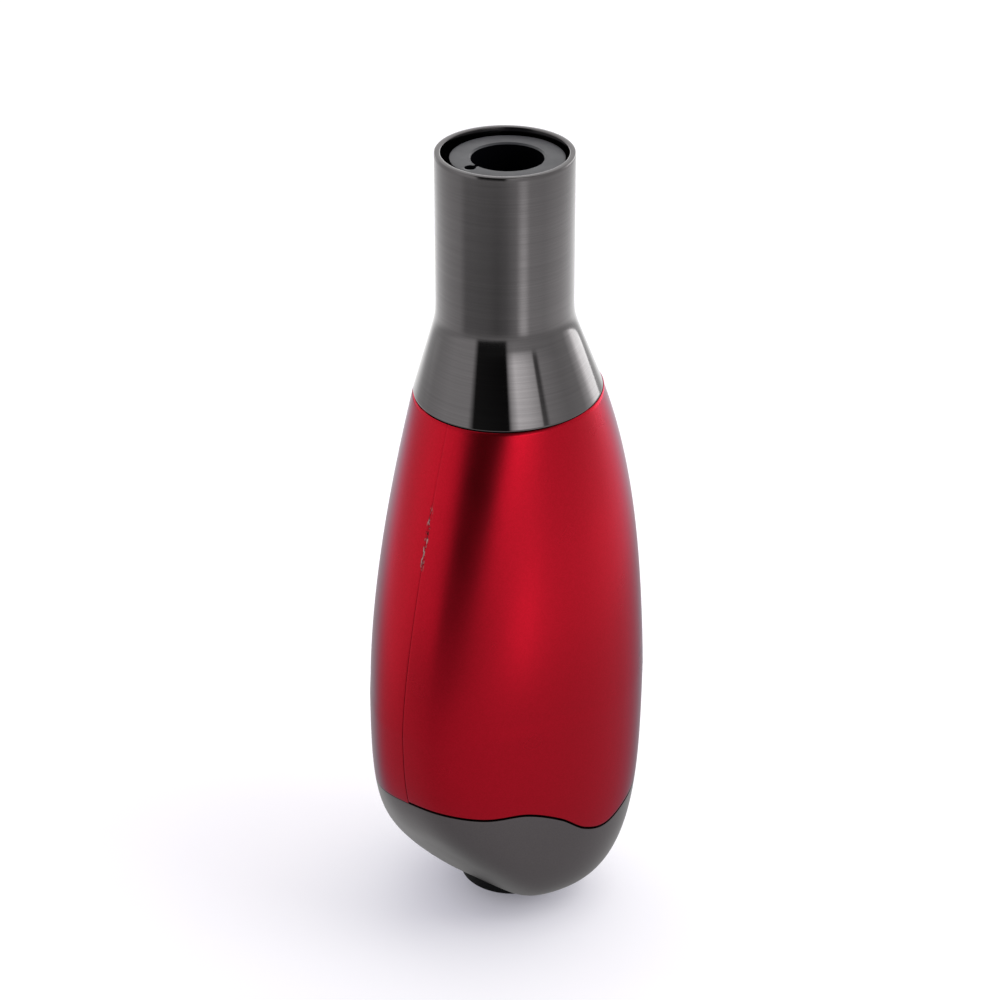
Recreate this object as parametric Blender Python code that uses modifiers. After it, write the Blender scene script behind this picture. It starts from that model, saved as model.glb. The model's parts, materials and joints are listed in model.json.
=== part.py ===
"""Gear knob for an automatic transmission, standing on its end cap with the lever bore at the top.

The outside is one continuous form cut into a collar, two grip shells and an end cap. Inside, a core
in two halves carries the split lever bush, the sprung release rod and the push button that drives it.
Run it with: blender --background --python part.py. It works in metres, with +Z up the lever bore,
-Y towards the nose of the grip and X across it.
"""

import math

import bmesh
import bpy
from mathutils import Matrix, Vector

MM = 0.001

# ---------------------------------------------------------------- driving sizes
LEVER_DIAMETER = 12.0 * MM
TUBE_RADIUS = LEVER_DIAMETER
TUBE_WALL = 1.05 * MM
SHELL_WALL = 2.2 * MM
TUBE_TOP = 146.7 * MM
FLARE_TOP = 116.7 * MM
SEAM_HEIGHT = 102.2 * MM
SEAM_RADIUS = 16.75 * MM
SEAM_BACK_SHIFT = 1.2 * MM
SEAM_TILT = math.radians(3.0)
CAP_BOTTOM = 2.7 * MM
BORE_BEHIND_MIDDLE = 2.5 * MM

# Where each side of the grip is fullest: (height, reach, roundness above it, roundness below it).
NOSE = (44.7 * MM, 29.2 * MM, 1.4, 2.7)
BACK = (59.7 * MM, 24.2 * MM, 2.8, 3.2)
SIDE = (44.7 * MM, 24.2 * MM, 1.8, 3.6)
FORM_POLE = CAP_BOTTOM - 2.0 * MM
NOSE_SHARPNESS = 0.22
SHARPEST_HEIGHT = 47.7 * MM

# A soft ridge runs down each side of the nose: its facing direction from the nose, half width, and
# height 80 mm below the collar seam.
RIDGE_FACING = math.radians(26.0)
RIDGE_SPREAD = math.radians(16.0)
RIDGE_HEIGHT = 0.56 * MM

# The sloped facet under the nose, and how crisply it meets the round form.
FACET_ANGLE = math.radians(48.0)
FACET_REACH = 34.13 * MM
FACET_HEIGHT = 44.7 * MM
FACET_CRISPNESS = 8.0

# The wavy seam between shells and cap, as seen from the side: (distance behind the bore, height).
WAVE = [(-34, 32.5), (-27, 29.6), (-22, 28.3), (-16, 28.3), (-10, 25.6), (-5, 21.8), (0, 20.4),
        (6, 22.2), (12, 24.2), (19, 26.0), (32, 28.0)]
SEAM_GAP = 0.6 * MM
SPLIT_GAP = 0.3 * MM
CLEAR = 0.3 * MM

# Push button, on an axis a little behind the bore.
BUTTON_Y = 2.4 * MM
BUTTON_RADIUS = 7.6 * MM
BUTTON_FACE = 0.5 * MM
BUTTON_TRAVEL = 4.0 * MM
BEZEL_RADIUS = 9.7 * MM
BARREL_RADIUS = 8.7 * MM
BARREL_TOP = 12.0 * MM

# Core, lever bush and release rod.
CORE_FLOOR = 18.2 * MM
CORE_RADIUS = 11.5 * MM
WEB_LOW, WEB_HIGH = 72.0 * MM, 82.0 * MM
BUSH_BOTTOM = 84.3 * MM
BUSH_TOP = TUBE_TOP - 1.0 * MM
BUSH_RADIUS = 9.9 * MM
BORE_RADIUS = LEVER_DIAMETER / 2 + 0.25 * MM
SLOT_TURN = math.radians(-14)
RELIEF_PLACE = 7.9 * MM
RELIEF_RADIUS = 1.0 * MM
ROD_RADIUS = 2.0 * MM
ROD_TOP = 92.0 * MM
PLUNGER_TOP = 25.8 * MM
ROD_BOTTOM = PLUNGER_TOP + CLEAR
CLIP_HEIGHT = 49.4 * MM
NECK_TOP = 109.0 * MM

# Fasteners: (distance behind the bore, height) of the core screws, the grub screws round the bush and
# the roll pin that crosses the bush.
SCREW_PLACES = [(-9 * MM, 37 * MM), (9 * MM, 37 * MM), (-9 * MM, 64 * MM), (9 * MM, 64 * MM)]
GRUB_ANGLES = [math.radians(a) for a in (0, 120, 240)]
GRUB_HEIGHT = 106.6 * MM
PIN_X, PIN_Z = 8.2 * MM, 90.5 * MM

AROUND = 40
ROUND = 28

# ---------------------------------------------------------------- colours
FINISHES = {
    "red_lacquer": ((0.42, 0.008, 0.02), 0.34, 0.55),
    "brushed_gunmetal": ((0.16, 0.155, 0.15), 0.30, 1.0),
    "satin_gunmetal": ((0.13, 0.125, 0.12), 0.38, 0.9),
    "black_plastic": ((0.03, 0.03, 0.033), 0.5, 0.0),
    "black_rubber": ((0.02, 0.02, 0.02), 0.8, 0.0),
    "core_nylon": ((0.62, 0.6, 0.54), 0.55, 0.0),
    "steel": ((0.55, 0.55, 0.56), 0.3, 1.0),
    "spring_steel": ((0.42, 0.42, 0.43), 0.35, 1.0),
    "brass": ((0.72, 0.53, 0.24), 0.3, 1.0),
}


# ---------------------------------------------------------------- scene helpers
def clear_scene():
    for obj in list(bpy.data.objects):
        bpy.data.objects.remove(obj, do_unlink=True)


def new_collection(name):
    collection = bpy.data.collections.new(name)
    bpy.context.scene.collection.children.link(collection)
    return collection


def make_materials():
    for name, (colour, roughness, metallic) in FINISHES.items():
        material = bpy.data.materials.new(name)
        material.use_nodes = True
        shader = material.node_tree.nodes["Principled BSDF"]
        shader.inputs["Base Color"].default_value = (*colour, 1.0)
        shader.inputs["Roughness"].default_value = roughness
        shader.inputs["Metallic"].default_value = metallic


clear_scene()
PARTS = new_collection("gear_knob")
CUTTERS = new_collection("cutters")
make_materials()
BORE_AXIS = bpy.data.objects.new("bore_axis", None)
BORE_AXIS.location = (0, BORE_BEHIND_MIDDLE, 0)
PARTS.objects.link(BORE_AXIS)


def new_object(name, mesh):
    """An object that starts life as a tool; finish() makes it a part."""
    obj = bpy.data.objects.new(name, mesh)
    CUTTERS.objects.link(obj)
    obj.parent = BORE_AXIS
    obj.hide_render = True
    obj.display_type = "WIRE"
    return obj


def finish(obj, name, finish_name, sharp_degrees=35):
    """Turns a tool into a named part of the knob with its own finish."""
    CUTTERS.objects.unlink(obj)
    PARTS.objects.link(obj)
    obj.name = name
    obj.hide_render = False
    obj.display_type = "TEXTURED"
    obj.data.materials.clear()
    obj.data.materials.append(bpy.data.materials[finish_name])
    if obj.type == "MESH":
        obj.data.shade_smooth()
        obj.data.set_sharp_from_angle(angle=math.radians(sharp_degrees))
    return obj


def boolean(obj, tool, operation):
    modifier = obj.modifiers.new(operation.lower(), "BOOLEAN")
    modifier.operation = operation
    modifier.solver = "EXACT"
    modifier.object = tool
    return obj


def cut(obj, *tools):
    for tool in tools:
        boolean(obj, tool, "DIFFERENCE")
    return obj


def join(obj, *tools):
    for tool in tools:
        boolean(obj, tool, "UNION")
    return obj


def keep(obj, tool):
    return boolean(obj, tool, "INTERSECT")


# ---------------------------------------------------------------- simple shapes
def cylinder(radius, low, high, x=0.0, y=0.0, segments=ROUND):
    """An upright cylinder between two heights."""
    mesh = bpy.data.meshes.new("cylinder")
    shape = bmesh.new()
    bmesh.ops.create_cone(shape, cap_ends=True, segments=segments, radius1=radius, radius2=radius,
                          depth=high - low)
    shape.to_mesh(mesh)
    shape.free()
    obj = new_object("cylinder", mesh)
    obj.location = (x, y, (low + high) / 2)
    return obj


def cross_cylinder(radius, x_low, x_high, y, z, segments=16):
    """A cylinder that lies along X."""
    obj = cylinder(radius, 0, x_high - x_low, segments=segments)
    obj.rotation_euler = (0, math.pi / 2, 0)
    obj.location = ((x_low + x_high) / 2, y, z)
    return obj


def box(x_low, x_high, y_low, y_high, z_low, z_high):
    mesh = bpy.data.meshes.new("box")
    shape = bmesh.new()
    bmesh.ops.create_cube(shape, size=1.0)
    size = (x_high - x_low, y_high - y_low, z_high - z_low)
    bmesh.ops.scale(shape, vec=size, verts=shape.verts)
    shape.to_mesh(mesh)
    shape.free()
    obj = new_object("box", mesh)
    obj.location = ((x_low + x_high) / 2, (y_low + y_high) / 2, (z_low + z_high) / 2)
    return obj


def turned(profile, y=0.0, steps=ROUND, closed=True):
    """A turned shape from (radius, height) points that run down its outer side and up its inner side."""
    mesh = bpy.data.meshes.new("turned")
    edges = [(i, i + 1) for i in range(len(profile) - 1)]
    if closed:
        edges.append((len(profile) - 1, 0))
    mesh.from_pydata([(radius, 0, height) for radius, height in profile], edges, [])
    obj = new_object("turned", mesh)
    obj.location = (0, y, 0)
    screw = obj.modifiers.new("turn", "SCREW")
    screw.steps = steps
    screw.render_steps = steps
    screw.use_merge_vertices = True
    screw.merge_threshold = 0.00001
    return obj


def evaluated_copy(obj):
    """A plain mesh of the object as its modifiers leave it."""
    bpy.context.view_layer.update()
    graph = bpy.context.evaluated_depsgraph_get()
    return bpy.data.meshes.new_from_object(obj.evaluated_get(graph))


def finish_copies(obj, matrices, name, finish_name):
    """Makes one part of the object at each matrix; the parts share a mesh."""
    mesh = evaluated_copy(obj)
    bpy.data.objects.remove(obj)
    for number, matrix in enumerate(matrices, 1):
        copy = new_object(name, mesh)
        copy.matrix_basis = matrix
        finish(copy, f"{name}_{number}", finish_name)


def coil(name, mean_radius, wire, low, high, turns, y, points_a_turn=10):
    """A compression spring whose two end turns are nearly closed."""
    curve = bpy.data.curves.new(name, "CURVE")
    curve.dimensions = "3D"
    curve.bevel_depth = wire
    curve.bevel_resolution = 1
    curve.use_fill_caps = True
    spline = curve.splines.new("POLY")
    count = turns * points_a_turn + 1
    spline.points.add(count - 1)
    end_pitch = 2.3 * wire
    bottom, top = low + wire, high - wire
    for i in range(count):
        turn = i / points_a_turn
        angle = 2 * math.pi * turn
        middle = (top - bottom - 2 * end_pitch) / (turns - 2)
        rise = end_pitch * min(turn, 1) + middle * max(0, min(turn, turns - 1) - 1)
        rise += end_pitch * max(0, turn - (turns - 1))
        x, y_out = mean_radius * math.cos(angle), mean_radius * math.sin(angle)
        spline.points[i].co = (x, y_out, bottom + rise, 1)
    obj = new_object(name, curve)
    obj.location = (0, y, 0)
    return obj


# ---------------------------------------------------------------- the outer form
def reach(height, side, top_reach):
    """How far one side of the grip stands from the bore at a height."""
    full_height, full, above, below = side
    if height >= full_height:
        rise = min((height - full_height) / (SEAM_HEIGHT - full_height), 1.0)
        return full - (full - top_reach) * rise**above
    drop = (full_height - height) / (full_height - FORM_POLE)
    return full * (1 - drop**below) ** (1 / below)


def inset_reach(height, side, top_reach, inset):
    """The same for a surface that lies inset under the outside, measured square to it."""
    step = 0.2 * MM
    above = reach(height + step, side, top_reach)
    slope = (above - reach(height - step, side, top_reach)) / (2 * step)
    return reach(height, side, top_reach) - inset * math.hypot(1, slope)


def egg_width_factor(sharpness):
    """The widest value of sin(t)(1 - sharpness cos(t)), so that the half width can be set exactly."""
    if sharpness < 1e-6:
        return 1.0
    cosine = (1 - math.sqrt(1 + 8 * sharpness**2)) / (4 * sharpness)
    return math.sqrt(1 - cosine**2) * (1 - sharpness * cosine)


def ridge_rise(height, facing):
    """How far the soft ridges lift the surface that faces a direction, measured from the nose."""
    growth = math.sqrt(max(0.0, SEAM_HEIGHT - height) / (80 * MM))
    right = math.exp(-(((facing - RIDGE_FACING) / RIDGE_SPREAD) ** 2))
    left = math.exp(-(((facing + RIDGE_FACING) / RIDGE_SPREAD) ** 2))
    return RIDGE_HEIGHT * growth * (right + left)


def facet_factor(centre, point, inset):
    """How much a point is pulled in towards its section's centre by the sloped facet."""
    normal = Vector((0, -math.sin(FACET_ANGLE), -math.cos(FACET_ANGLE)))
    outward = (point - centre).dot(normal)
    if outward <= 0:
        return 1.0
    room = FACET_REACH - inset - (centre - Vector((0, 0, FACET_HEIGHT))).dot(normal)
    share = max(room / outward, 0.05)
    return (1 + share**-FACET_CRISPNESS) ** (-1 / FACET_CRISPNESS)


def grip_section(height, inset):
    """The egg-shaped section of grip and cap, its narrow end at the nose."""
    front = inset_reach(height, NOSE, SEAM_RADIUS - SEAM_BACK_SHIFT, inset)
    back = inset_reach(height, BACK, SEAM_RADIUS + SEAM_BACK_SHIFT, inset)
    half = inset_reach(height, SIDE, SEAM_RADIUS, inset)
    fade = (SEAM_HEIGHT - height) / (SEAM_HEIGHT - SHARPEST_HEIGHT)
    sharpness = NOSE_SHARPNESS * max(0.0, min(fade, 1.0))
    width = half / egg_width_factor(sharpness)
    centre = Vector((0, (back - front) / 2, height))
    points = []
    for i in range(AROUND):
        t = 2 * math.pi * i / AROUND
        x = width * math.sin(t) * (1 - sharpness * math.cos(t))
        y = centre.y - (front + back) / 2 * math.cos(t)
        turn = math.cos(t) * (1 - sharpness * math.cos(t)) + sharpness * math.sin(t) ** 2
        facing = math.atan2((front + back) / 2 * math.sin(t), width * turn)
        rise = ridge_rise(height, facing)
        point = Vector((x + rise * math.sin(facing), y - rise * math.cos(facing), height))
        points.append(centre + (point - centre) * facet_factor(centre, point, inset))
    return points


def collar_section(height, inset):
    """The round section of tube and flare."""
    spread = max(0.0, (FLARE_TOP - height) / (FLARE_TOP - SEAM_HEIGHT))
    slope = (SEAM_RADIUS - TUBE_RADIUS) / (FLARE_TOP - SEAM_HEIGHT) if spread > 0 else 0.0
    radius = TUBE_RADIUS + (SEAM_RADIUS - TUBE_RADIUS) * spread - inset * math.hypot(1, slope)
    points = []
    for i in range(AROUND):
        t = 2 * math.pi * i / AROUND
        y = SEAM_BACK_SHIFT * spread - radius * math.cos(t)
        points.append(Vector((radius * math.sin(t), y, height)))
    return points


def form(heights, inset):
    """A closed solid of the outer form, or of one that lies inset under it, between two heights."""
    shape = bmesh.new()
    rings = []
    for height in heights:
        section = collar_section if height >= SEAM_HEIGHT else grip_section
        rings.append([shape.verts.new(point) for point in section(height, inset)])
    for lower, upper in zip(rings, rings[1:]):
        for i in range(AROUND):
            j = (i + 1) % AROUND
            shape.faces.new((lower[i], lower[j], upper[j], upper[i]))
    shape.faces.new(reversed(rings[0]))
    shape.faces.new(rings[-1])
    mesh = bpy.data.meshes.new("form")
    shape.to_mesh(mesh)
    shape.free()
    return new_object("form", mesh)


def spaced(low, high, count, power=1.0):
    """Heights from low to high, closer together near low when power is above 1."""
    return [low + (high - low) * (i / count) ** power for i in range(count + 1)]


# ---------------------------------------------------------------- seams
def wave_height(y):
    """Height of the wavy seam at a distance behind the bore, smooth through WAVE's points."""
    knots = [(a * MM, b * MM) for a, b in WAVE]
    y = max(knots[0][0], min(y, knots[-1][0]))
    i = max(n for n in range(len(knots) - 1) if knots[n][0] <= y)
    (y0, z0), (y1, z1) = knots[i], knots[i + 1]
    before = knots[max(i - 1, 0)]
    after = knots[min(i + 2, len(knots) - 1)]
    slope0 = (z1 - before[1]) / (y1 - before[0])
    slope1 = (after[1] - z0) / (after[0] - y0)
    span = y1 - y0
    s = (y - y0) / span
    lead = (2 * s**3 - 3 * s**2 + 1) * z0 + (s**3 - 2 * s**2 + s) * span * slope0
    return lead + (3 * s**2 - 2 * s**3) * z1 + (s**3 - s**2) * span * slope1


def wave_block(lower_offset, upper_offset):
    """A block across the knob whose floor or roof follows the wave; None leaves that side flat and far."""
    count, reach_out = 26, 34 * MM
    along = [-reach_out + 2 * reach_out * i / count for i in range(count + 1)]
    far_low, far_high = -10 * MM, 120 * MM
    floor = [far_low if lower_offset is None else wave_height(y) + lower_offset for y in along]
    roof = [far_high if upper_offset is None else wave_height(y) + upper_offset for y in along]
    outline = list(zip(along, floor)) + list(zip(reversed(along), reversed(roof)))
    shape = bmesh.new()
    face = shape.faces.new([shape.verts.new((-40 * MM, y, z)) for y, z in outline])
    extruded = bmesh.ops.extrude_face_region(shape, geom=[face])
    moved = [v for v in extruded["geom"] if isinstance(v, bmesh.types.BMVert)]
    bmesh.ops.translate(shape, vec=(80 * MM, 0, 0), verts=moved)
    bmesh.ops.recalc_face_normals(shape, faces=shape.faces)
    mesh = bpy.data.meshes.new("wave")
    shape.to_mesh(mesh)
    shape.free()
    return new_object("wave", mesh)


def seam_block(low_offset, high_offset):
    """A slab square to the tilted collar seam, between two offsets from it."""
    obj = box(-40 * MM, 40 * MM, -40 * MM, 40 * MM, low_offset, high_offset)
    tilt = Matrix.Rotation(SEAM_TILT, 4, "X")
    middle = Matrix.Translation((0, 0, (low_offset + high_offset) / 2))
    obj.matrix_local = Matrix.Translation((0, 0, SEAM_HEIGHT)) @ tilt @ middle
    return obj


def side_block(direction):
    """Everything on one side of the middle plane, half the split gap away from it."""
    inner, outer = SPLIT_GAP / 2, 60 * MM
    low, high = (inner, outer) if direction > 0 else (-outer, -inner)
    return box(low, high, -60 * MM, 60 * MM, -20 * MM, 180 * MM)


# ---------------------------------------------------------------- outside pieces
def make_collar():
    flare = [FLARE_TOP - 14.4 * MM, FLARE_TOP]
    heights = [97 * MM, 99.5 * MM] + flare + [TUBE_TOP]
    collar = form(heights, 0)
    hollow = form([96 * MM, 99.5 * MM] + flare + [TUBE_TOP + 5 * MM], TUBE_WALL)
    cut(collar, hollow, seam_block(-60 * MM, SEAM_GAP / 2))
    return finish(collar, "collar_sleeve", "brushed_gunmetal")


def dowel_places():
    """Where the two shells are pinned together, just inside the nose and the back: (y, z)."""
    places = []
    for z in (52 * MM, 76 * MM):
        nose = inset_reach(z, NOSE, SEAM_RADIUS - SEAM_BACK_SHIFT, SHELL_WALL)
        back = inset_reach(z, BACK, SEAM_RADIUS + SEAM_BACK_SHIFT, SHELL_WALL)
        places += [(-nose + 1.4 * MM, z), (back - 1.4 * MM, z)]
    return places


def make_shells():
    for name, direction in (("left_shell", -1), ("right_shell", 1)):
        shell = form(spaced(17 * MM, SEAM_HEIGHT - 0.1 * MM, 10) + [105 * MM], 0)
        cut(shell, form(spaced(16 * MM, SEAM_HEIGHT - 0.1 * MM, 7) + [106 * MM], SHELL_WALL))
        join(shell, *[cross_cylinder(2.4 * MM, -4 * MM, 4 * MM, y, z) for y, z in dowel_places()])
        keep(shell, wave_block(SEAM_GAP / 2, None))
        cut(shell, seam_block(-SEAM_GAP / 2, 60 * MM))
        cut(shell, *[cross_cylinder(1.4 * MM, -3 * MM, 3 * MM, y, z) for y, z in dowel_places()])
        keep(shell, side_block(direction))
        finish(shell, name, "red_lacquer")
    pin = cylinder(1.1 * MM, -2.7 * MM, 2.7 * MM, segments=12)
    lay = Matrix.Rotation(math.pi / 2, 4, "Y")
    places = [Matrix.Translation((0, y, z)) @ lay for y, z in dowel_places()]
    finish_copies(pin, places, "shell_dowel", "black_plastic")


def make_end_cap():
    cap = form(spaced(CAP_BOTTOM, 34 * MM, 10, 1.7), 0)
    floor = CAP_BOTTOM + SHELL_WALL
    cut(cap, form(spaced(floor, 36 * MM, 7, 1.5), SHELL_WALL))
    join(cap, cylinder(10.4 * MM, CAP_BOTTOM + 1 * MM, 7.2 * MM, y=BUTTON_Y))
    cut(cap, cylinder(BARREL_RADIUS + CLEAR, 0, 12 * MM, y=BUTTON_Y))
    cut(cap, wave_block(-SEAM_GAP / 2, None))
    return finish(cap, "end_cap", "satin_gunmetal")


def make_seals():
    """Black bands that lie behind the two seams and close them."""
    outer, inner = SHELL_WALL + 0.4 * MM, SHELL_WALL + 1.3 * MM
    cap_band = form(spaced(14 * MM, 36 * MM, 3), outer)
    cut(cap_band, form(spaced(13 * MM, 37 * MM, 3), inner))
    keep(cap_band, wave_block(-3 * MM, 3 * MM))
    finish(cap_band, "cap_seal", "black_rubber")
    collar_band = form([97 * MM, 100 * MM, SEAM_HEIGHT - 0.1 * MM, 107 * MM], outer)
    cut(collar_band, form([96 * MM, 100 * MM, SEAM_HEIGHT - 0.1 * MM, 108 * MM], inner))
    keep(collar_band, seam_block(-2 * MM, 2 * MM))
    finish(collar_band, "collar_seal", "black_rubber")


# ---------------------------------------------------------------- lever bush
def make_lever_bush():
    """The split bush that closes on the lever; its slot ends in a round relief hole."""
    chamfer = 0.5 * MM
    profile = [(BUSH_RADIUS - chamfer, BUSH_TOP), (BUSH_RADIUS, BUSH_TOP - chamfer),
               (BUSH_RADIUS, BUSH_BOTTOM), (BORE_RADIUS, BUSH_BOTTOM),
               (BORE_RADIUS, BUSH_TOP - chamfer / 2), (BORE_RADIUS + chamfer / 2, BUSH_TOP)]
    bush = turned(profile, steps=AROUND)
    low, high = BUSH_BOTTOM - 5 * MM, BUSH_TOP + 5 * MM
    relief = cylinder(RELIEF_RADIUS, low, high, y=-RELIEF_PLACE, segments=12)
    slit = box(-0.4 * MM, 0.4 * MM, -RELIEF_PLACE, -BORE_RADIUS + 1 * MM, low, high)
    turn = Matrix.Rotation(SLOT_TURN, 4, "Z")
    for tool in (relief, slit):
        tool.matrix_basis = turn @ tool.matrix_basis
    cut(bush, relief, slit, cross_pin(1.1 * MM, 12 * MM))
    finish(bush, "lever_bush", "black_plastic")
    for name, height in (("mouth_o_ring", 141 * MM), ("lower_o_ring", 122 * MM)):
        bpy.ops.mesh.primitive_torus_add(major_radius=10.42 * MM, minor_radius=0.38 * MM,
                                         major_segments=ROUND, minor_segments=6)
        ring = bpy.context.object
        ring.users_collection[0].objects.unlink(ring)
        CUTTERS.objects.link(ring)
        ring.parent = BORE_AXIS
        ring.location = (0, 0, height)
        finish(ring, name, "black_rubber")


def cross_pin(radius, half_length):
    """The roll pin, or the hole for it: it lies along Y and misses the bore."""
    pin = cylinder(radius, 0, 2 * half_length, segments=12)
    pin.rotation_euler = (math.pi / 2, 0, 0)
    pin.location = (PIN_X, 0, PIN_Z)
    return pin


def make_roll_pin():
    finish(cross_pin(0.8 * MM, 9.3 * MM), "bush_roll_pin", "steel")


# ---------------------------------------------------------------- core
def whole_core():
    core = cylinder(CORE_RADIUS, CORE_FLOOR, 83 * MM)
    ring = cylinder(10.4 * MM, 7.5 * MM, 20.4 * MM, y=BUTTON_Y)
    socket = cylinder(12.6 * MM, 81 * MM, 98 * MM)
    neck = cylinder(11.4 * MM, 97 * MM, NECK_TOP)
    bosses = [cross_cylinder(3.2 * MM, -8 * MM, 8 * MM, y, z) for y, z in SCREW_PLACES]
    plates = [form([low, low + 2 * MM], SHELL_WALL + 0.5 * MM) for low in (45 * MM, 86 * MM)]
    join(core, ring, socket, neck, *bosses, *plates)
    cut(core,
        cylinder(BARREL_RADIUS + CLEAR, 5 * MM, CORE_FLOOR, y=BUTTON_Y),
        cylinder(3.5 * MM, 17 * MM, 22 * MM, y=BUTTON_Y, segments=20),
        cylinder(6.4 * MM, 20.4 * MM, 33 * MM, y=BUTTON_Y),
        cylinder(5.6 * MM, 31 * MM, WEB_LOW),
        cylinder(4.3 * MM, WEB_LOW - 1 * MM, WEB_HIGH + 1 * MM, segments=20),
        cylinder(6.3 * MM, WEB_HIGH, BUSH_BOTTOM + 1 * MM),
        cylinder(BUSH_RADIUS + CLEAR, BUSH_BOTTOM - CLEAR, NECK_TOP + 5 * MM, segments=AROUND),
        *[cross_cylinder(1.6 * MM, -7 * MM, 12 * MM, y, z, segments=12) for y, z in SCREW_PLACES],
        *[cross_cylinder(2.7 * MM, 8 * MM, 14 * MM, y, z) for y, z in SCREW_PLACES],
        *[grub_tool(1.8 * MM, 9 * MM, 15 * MM, angle) for angle in GRUB_ANGLES],
        cross_pin(1.1 * MM, 14 * MM))
    return core


def grub_tool(radius, inner, outer, angle):
    """A radial cylinder at the height of the grub screws."""
    tool = cylinder(radius, 0, outer - inner, segments=12)
    spin = Matrix.Rotation(angle, 4, "Z")
    lay = Matrix.Rotation(math.pi / 2, 4, "Y")
    place = Matrix.Translation(((inner + outer) / 2, 0, GRUB_HEIGHT))
    tool.matrix_basis = spin @ place @ lay
    return tool


def make_core():
    for name, direction in (("core_left_half", -1), ("core_right_half", 1)):
        half = whole_core()
        keep(half, side_block(direction))
        finish(half, name, "core_nylon")


def make_core_screws():
    head, shank, reach_in = 2.3 * MM, 1.25 * MM, 14.5 * MM
    profile = [(0, 1.5 * MM), (head - 0.5 * MM, 1.5 * MM), (head, 1.0 * MM), (head, 0),
               (shank, 0), (shank, -reach_in + 1.5 * MM), (0, -reach_in)]
    screw = turned(profile, steps=16, closed=False)
    cut(screw, box(-0.4 * MM, 0.4 * MM, -3 * MM, 3 * MM, 0.7 * MM, 3 * MM))
    lay = Matrix.Rotation(math.pi / 2, 4, "Y")
    places = [Matrix.Translation((8.3 * MM, y, z)) @ lay for y, z in SCREW_PLACES]
    finish_copies(screw, places, "core_screw", "steel")


def make_grub_screws():
    inner, outer = BUSH_RADIUS + 0.4 * MM, 12.9 * MM
    length = outer - inner
    screw = cylinder(1.5 * MM, 0, length, segments=14)
    cut(screw, cylinder(0.8 * MM, length - 1.2 * MM, length + 1 * MM, segments=6))
    screw.location = (0, 0, length / 2)
    lay = Matrix.Rotation(math.pi / 2, 4, "Y")
    out = Matrix.Translation((inner + length / 2, 0, GRUB_HEIGHT))
    places = [Matrix.Rotation(angle, 4, "Z") @ out @ lay for angle in GRUB_ANGLES]
    finish_copies(screw, places, "grub_screw", "steel")


# ---------------------------------------------------------------- button
def make_button():
    wall, floor = 1.1 * MM, 2.4 * MM
    lip_low, lip_high = BARREL_TOP + CLEAR, BARREL_TOP + 1.6 * MM
    boss, boss_bore, boss_top = 4.6 * MM, 3.3 * MM, 9.5 * MM
    dish = 0.6 * MM
    inside = BUTTON_FACE + floor
    profile = [
        (BUTTON_RADIUS - wall, lip_high), (BUTTON_RADIUS + 0.8 * MM, lip_high),
        (BUTTON_RADIUS + 0.8 * MM, lip_low), (BUTTON_RADIUS, lip_low),
        (BUTTON_RADIUS, BUTTON_FACE + 0.5 * MM), (BUTTON_RADIUS - 0.5 * MM, BUTTON_FACE),
        (BUTTON_RADIUS * 0.6, BUTTON_FACE + dish * 0.7), (0, BUTTON_FACE + dish),
        (0, inside), (boss_bore, inside), (boss_bore, boss_top), (boss, boss_top),
        (boss, inside), (BUTTON_RADIUS - wall, inside)]
    button = turned(profile, y=BUTTON_Y)
    pin_height = 6.5 * MM
    cut(button, cross_cylinder(1.0 * MM, -5 * MM, 5 * MM, BUTTON_Y, pin_height, segments=12))
    finish(button, "push_button", "black_plastic")

    head, stem, head_low = 5.0 * MM, 3.0 * MM, PLUNGER_TOP - 2.6 * MM
    profile = [(0, PLUNGER_TOP), (head - 0.4 * MM, PLUNGER_TOP), (head, PLUNGER_TOP - 0.4 * MM),
               (head, head_low), (stem, head_low), (stem, inside + CLEAR), (0, inside + CLEAR)]
    plunger = turned(profile, y=BUTTON_Y, steps=20, closed=False)
    cut(plunger, cross_cylinder(1.0 * MM, -5 * MM, 5 * MM, BUTTON_Y, pin_height, segments=12))
    finish(plunger, "button_plunger", "core_nylon")
    pin = cross_cylinder(0.7 * MM, -4.4 * MM, 4.4 * MM, BUTTON_Y, pin_height, segments=12)
    finish(pin, "plunger_pin", "steel")

    spring = coil("button_spring", 5.55 * MM, 0.5 * MM, inside + CLEAR, CORE_FLOOR - CLEAR, 5, BUTTON_Y)
    finish(spring, "button_spring", "spring_steel")


def make_bezel():
    """The threaded ring that guides the button, clamps the cap and is the knob's flat foot."""
    inner, flange_top, round_off = BUTTON_RADIUS + CLEAR, CAP_BOTTOM - CLEAR, 0.4 * MM
    profile = [(BARREL_RADIUS, BARREL_TOP), (BARREL_RADIUS, flange_top), (BEZEL_RADIUS, flange_top),
               (BEZEL_RADIUS, round_off), (BEZEL_RADIUS - round_off, 0), (inner, 0),
               (inner, BARREL_TOP)]
    bezel = turned(profile, y=BUTTON_Y, steps=AROUND)
    notch = 0.7 * MM
    for side in (-1, 1):
        x = side * (BEZEL_RADIUS - 0.3 * MM)
        cut(bezel, box(x - 0.8 * MM, x + 0.8 * MM, BUTTON_Y - notch, BUTTON_Y + notch, -1 * MM, 0.9 * MM))
    finish(bezel, "button_bezel", "black_plastic")


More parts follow.
